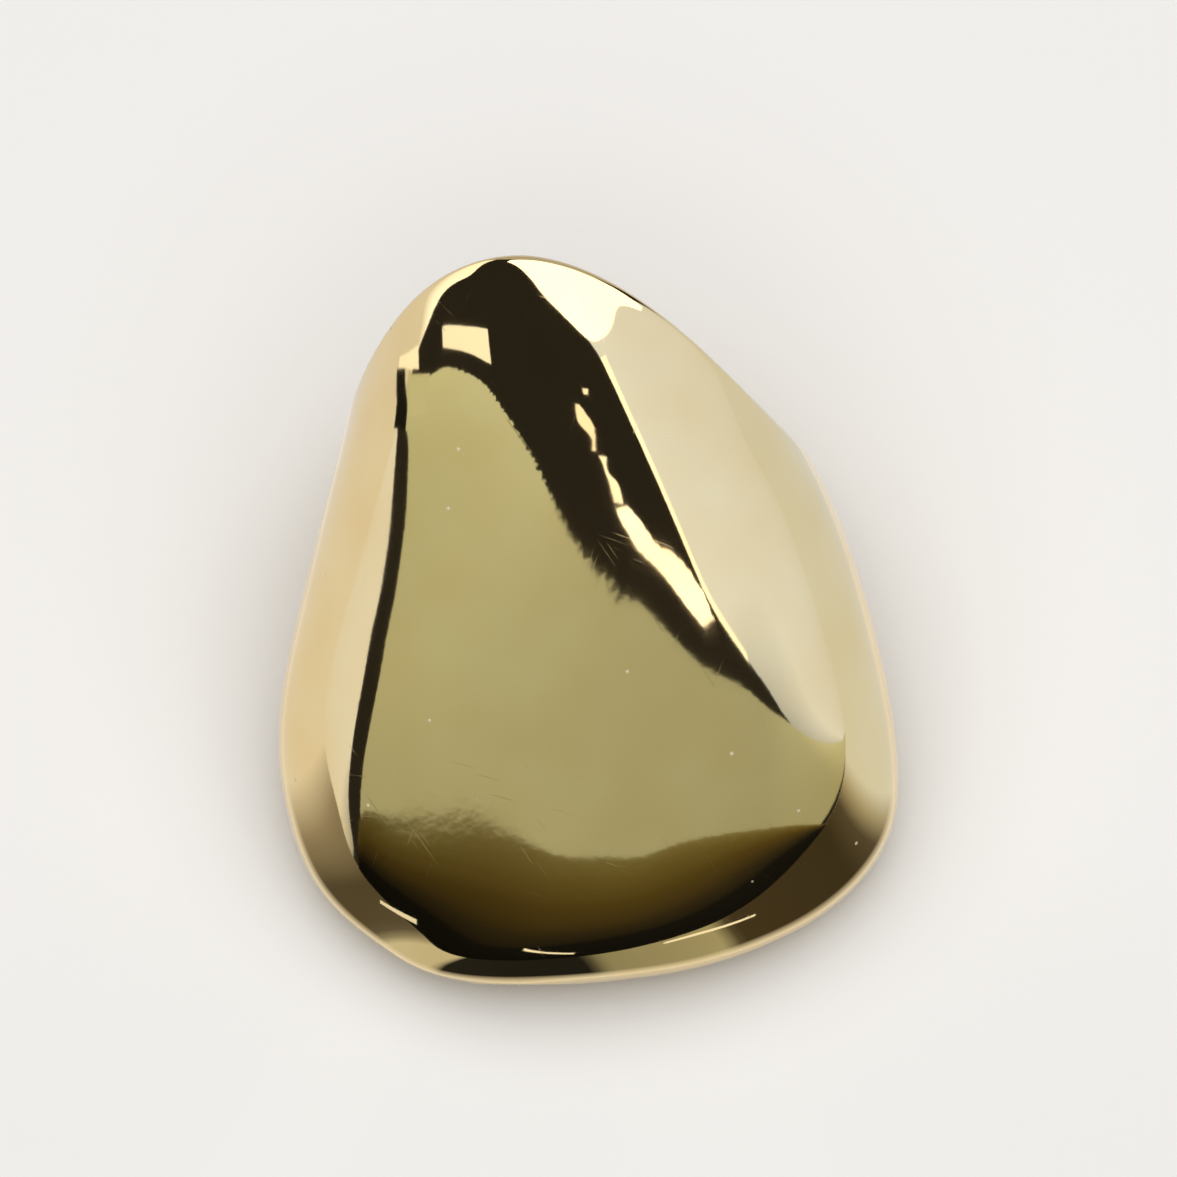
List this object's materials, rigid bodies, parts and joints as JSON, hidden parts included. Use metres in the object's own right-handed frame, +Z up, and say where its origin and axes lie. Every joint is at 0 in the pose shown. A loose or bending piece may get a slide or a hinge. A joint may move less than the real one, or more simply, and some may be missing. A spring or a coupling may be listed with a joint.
{
  "type": "grillz tooth cover",
  "caption": "Thin gold shell in the form of a single upper lateral incisor's crown, closed at the biting edge and open along a scalloped gum rim, slipped over a front tooth.",
  "frame": {"origin": "centre of the bounding box, at its bottom, with the cover lying on its tongue side on a surface", "axes": "+Y from the biting edge towards the gum rim, +Z up and out of the lips side, +X towards the middle of the smile"},
  "size_m": [0.0082, 0.0094, 0.0065],
  "materials": {
    "yellow_gold": "mirror polished yellow gold outside, satin as cast inside"
  },
  "bodies": {
    "root": {"tooth_cap": "yellow_gold"}
  },
  "joints": []
}
